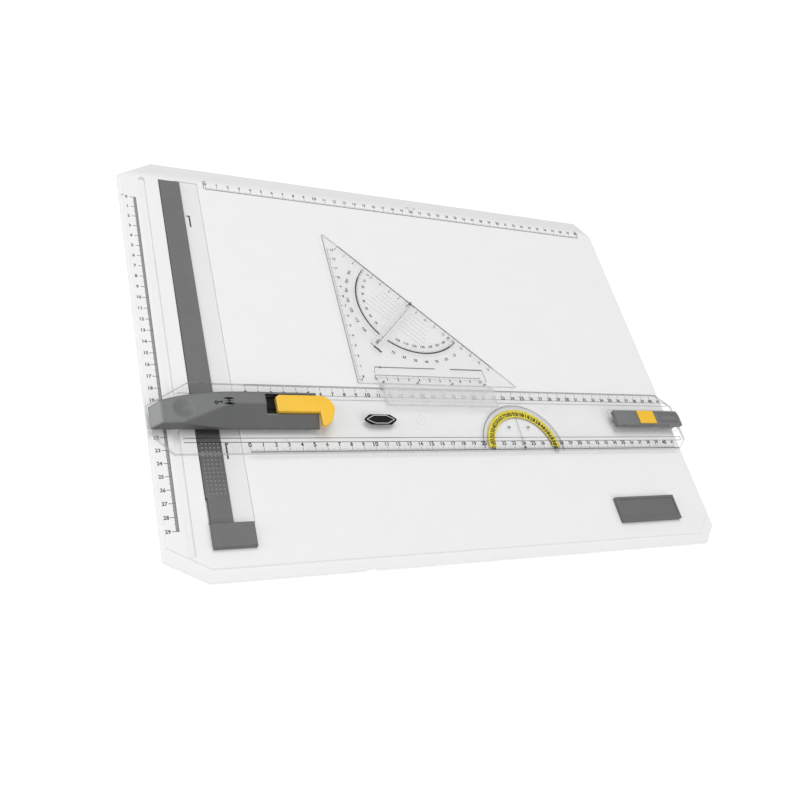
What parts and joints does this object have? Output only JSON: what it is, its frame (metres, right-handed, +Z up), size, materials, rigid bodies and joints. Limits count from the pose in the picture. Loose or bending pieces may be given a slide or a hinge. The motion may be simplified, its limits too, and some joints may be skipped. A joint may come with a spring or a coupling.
{
  "type": "drawing board with set square",
  "caption": "Flat drawing board with a paper clamp bar, a sliding parallel rule that locks, and a clear 45 degree set square that rides on the rule.",
  "frame": {"origin": "centre of the whole footprint, on the table plane under the feet", "axes": "+X along the board's long side towards the rule's free end, +Y away from the user, +Z up out of the drawing surface"},
  "size_m": [0.4984, 0.367, 0.033],
  "materials": {
    "board_white": "fine satin moulded polystyrene",
    "light_grey": "satin",
    "dark_grey": "fine grained matte",
    "head_grey": "satin moulded",
    "black": "matte",
    "yellow": "satin moulded",
    "clear": "clear polished acrylic",
    "frosted": "slightly milky acrylic",
    "acetal": "natural acetal",
    "rubber": "matte",
    "steel": "bright zinc"
  },
  "bodies": {
    "board": {"board_top_shell": "board_white", "board_bottom_cover": "board_white", "cover_screws": "steel", "rubber_feet": "rubber", "paper_channel_strip": "light_grey", "paper_stop_left": "dark_grey", "paper_stop_right": "dark_grey", "clamp_hinge_rod": "steel", "clamp_springs": "steel"},
    "clamp": {"clamp_bar": "dark_grey", "clamp_grip_strip": "rubber"},
    "rule": {"rule_blade": "clear", "glide_pads": "clear", "blank_badge": "black", "head_housing": "head_grey", "head_chassis": "black", "head_screws": "steel", "guide_shoe": "acetal", "end_carrier": "clear", "end_cover": "dark_grey", "end_screws": "steel", "brake_spring": "steel", "latch_spring": "steel"},
    "lock": {"lock_lever": "yellow", "pull_rod": "black"},
    "brake": {"brake_shoe": "black", "brake_pad": "rubber"},
    "latch": {"edge_hook": "dark_grey", "end_button": "yellow"},
    "set_square": {"set_square_plate": "clear", "set_square_runner": "frosted", "runner_rivets": "clear", "set_square_grip": "clear"}
  },
  "joints": [
    {"name": "rule_slide", "type": "slide", "parent": "board", "child": "rule", "axis": [0, 1, 0], "range_m": [-0.045, 0.19]},
    {"name": "lock_slide", "type": "slide", "parent": "rule", "child": "lock", "axis": [1, 0, 0], "range_m": [0, 0.0075], "deforming": ["brake_spring"]},
    {"name": "brake_slide", "type": "slide", "parent": "rule", "child": "brake", "axis": [1, 0, 0], "range_m": [0, 0.0005]},
    {"name": "latch_slide", "type": "slide", "parent": "rule", "child": "latch", "axis": [1, 0, 0], "range_m": [0, 0.004], "stiffness_N_per_m": 120, "springref_m": -0.002, "deforming": ["latch_spring"]},
    {"name": "set_square_slide", "type": "slide", "parent": "rule", "child": "set_square", "axis": [1, 0, 0], "range_m": [-0.047, 0.118]},
    {"name": "clamp_hinge", "type": "hinge", "parent": "board", "child": "clamp", "pos_m": [-0.212, 0, 0.016], "axis": [0, -1, 0], "range_deg": [0, 4], "stiffness_Nm_per_rad": 0.3}
  ],
  "couplings": [
    {"joint": "brake_slide", "follows": "lock_slide", "ratio": 0.066667}
  ]
}
